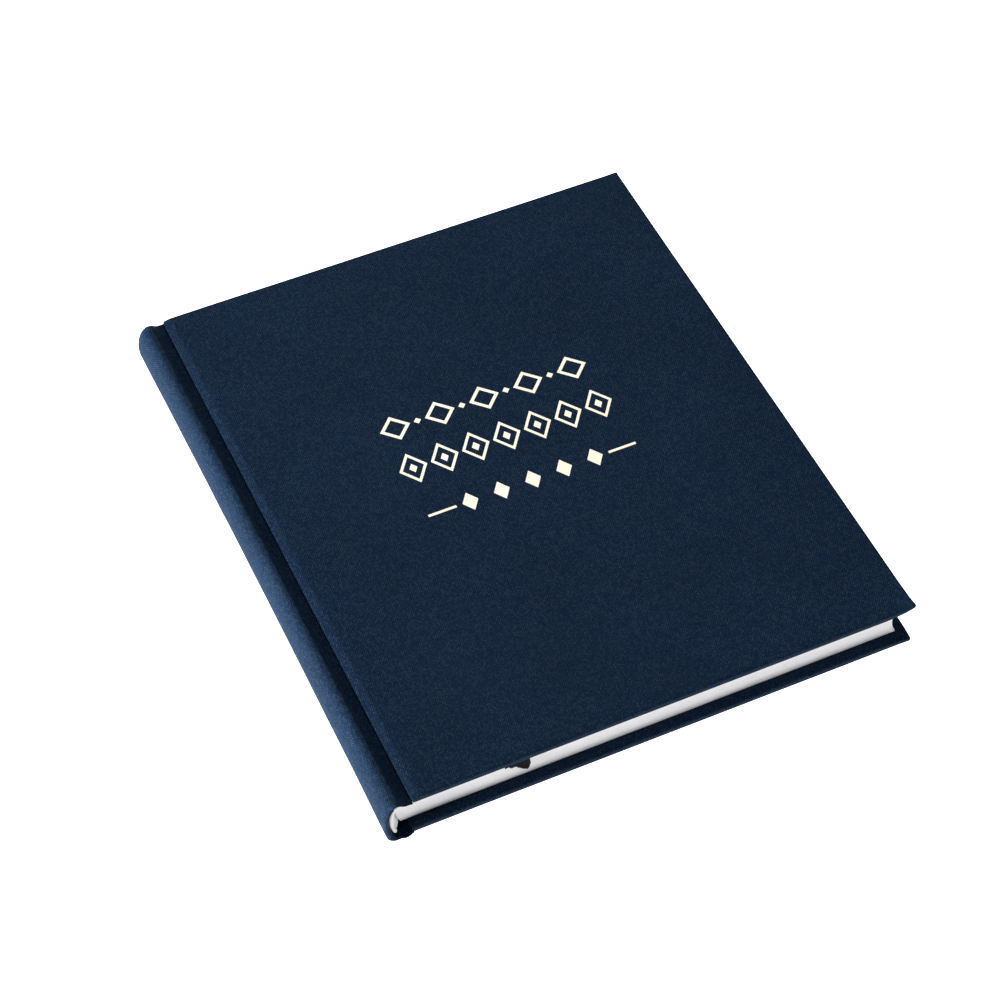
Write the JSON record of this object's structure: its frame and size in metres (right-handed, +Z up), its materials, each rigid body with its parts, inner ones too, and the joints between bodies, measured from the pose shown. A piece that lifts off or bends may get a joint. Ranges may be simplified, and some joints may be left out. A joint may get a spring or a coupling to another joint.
{
  "type": "hardcover notebook",
  "caption": "Cloth-bound hardcover notebook with a rounded spine, white pages, a ribbon marker and a foil-stamped ornament; both covers open and the leaves fan.",
  "frame": {"origin": "centre of the closed book's underside, which is the back cover's outer face", "axes": "+X from the spine to the fore-edge, +Y from the tail to the head, +Z up through the closed book"},
  "size_m": [0.1694, 0.2, 0.017],
  "materials": {
    "book_cloth": "fine-weave navy book cloth, matt",
    "foil": "pale gold stamped foil, satin",
    "greyboard": "dense grey board, matt",
    "inlay_card": "card, matt",
    "page_paper": "uncoated white paper, matt",
    "endpaper": "uncoated white paper, matt",
    "lining_paper": "kraft lining paper, matt",
    "mull": "open-weave cotton, matt",
    "band": "woven white cotton band, matt",
    "thread": "waxed linen thread",
    "ribbon": "black satin ribbon"
  },
  "bodies": {
    "text_block": {"spine_cloth": "book_cloth", "spine_inlay": "inlay_card", "spine_mull": "mull", "spine_lining": "lining_paper", "head_band": "band", "tail_band": "band", "sewing_thread": "thread", "back_flyleaf": "endpaper", "front_joint_cloth": "book_cloth", "back_joint_cloth": "book_cloth", "signature_01": "page_paper", "signature_02": "page_paper", "signature_03": "page_paper", "signature_04": "page_paper", "signature_05": "page_paper", "signature_06": "page_paper"},
    "front_cover": {"front_cover_cloth": "book_cloth", "front_board": "greyboard", "front_pastedown": "endpaper", "foil_ornament": "foil"},
    "back_cover": {"back_cover_cloth": "book_cloth", "back_board": "greyboard", "back_pastedown": "endpaper"},
    "front_flyleaf": {"front_flyleaf": "endpaper"},
    "gathering_07": {"signature_07": "page_paper"},
    "gathering_08": {"signature_08": "page_paper"},
    "gathering_09": {"signature_09": "page_paper"},
    "gathering_10": {"signature_10": "page_paper"},
    "gathering_11": {"signature_11": "page_paper"},
    "gathering_12": {"signature_12": "page_paper", "ribbon_marker": "ribbon"}
  },
  "joints": [
    {"name": "front_cover_hinge", "type": "hinge", "parent": "text_block", "child": "front_cover", "pos_m": [-0.08045, 0, 0.01445], "axis": [0, -1, 0], "range_deg": [0, 180], "deforming": ["front_joint_cloth"]},
    {"name": "back_cover_hinge", "type": "hinge", "parent": "text_block", "child": "back_cover", "pos_m": [-0.08045, 0, 0.00255], "axis": [0, 1, 0], "range_deg": [0, 180], "deforming": ["back_joint_cloth"]},
    {"name": "front_flyleaf_turn", "type": "hinge", "parent": "text_block", "child": "front_flyleaf", "pos_m": [-0.08045, 0, 0.01445], "axis": [0, -1, 0], "range_deg": [0, 96]},
    {"name": "gathering_12_turn", "type": "hinge", "parent": "text_block", "child": "gathering_12", "pos_m": [-0.08045, 0, 0.01445], "axis": [0, -1, 0], "range_deg": [0, 88]},
    {"name": "gathering_11_turn", "type": "hinge", "parent": "text_block", "child": "gathering_11", "pos_m": [-0.08045, 0, 0.01445], "axis": [0, -1, 0], "range_deg": [0, 64]},
    {"name": "gathering_10_turn", "type": "hinge", "parent": "text_block", "child": "gathering_10", "pos_m": [-0.08045, 0, 0.01445], "axis": [0, -1, 0], "range_deg": [0, 44]},
    {"name": "gathering_09_turn", "type": "hinge", "parent": "text_block", "child": "gathering_09", "pos_m": [-0.08045, 0, 0.01445], "axis": [0, -1, 0], "range_deg": [0, 29]},
    {"name": "gathering_08_turn", "type": "hinge", "parent": "text_block", "child": "gathering_08", "pos_m": [-0.08045, 0, 0.01445], "axis": [0, -1, 0], "range_deg": [0, 17]},
    {"name": "gathering_07_turn", "type": "hinge", "parent": "text_block", "child": "gathering_07", "pos_m": [-0.08045, 0, 0.01445], "axis": [0, -1, 0], "range_deg": [0, 8]}
  ],
  "couplings": [
    {"joint": "front_flyleaf_turn", "follows": "front_cover_hinge", "ratio": 0.53333},
    {"joint": "gathering_12_turn", "follows": "front_cover_hinge", "ratio": 0.48889},
    {"joint": "gathering_11_turn", "follows": "front_cover_hinge", "ratio": 0.35556},
    {"joint": "gathering_10_turn", "follows": "front_cover_hinge", "ratio": 0.24444},
    {"joint": "gathering_09_turn", "follows": "front_cover_hinge", "ratio": 0.16111},
    {"joint": "gathering_08_turn", "follows": "front_cover_hinge", "ratio": 0.094444},
    {"joint": "gathering_07_turn", "follows": "front_cover_hinge", "ratio": 0.044444}
  ]
}
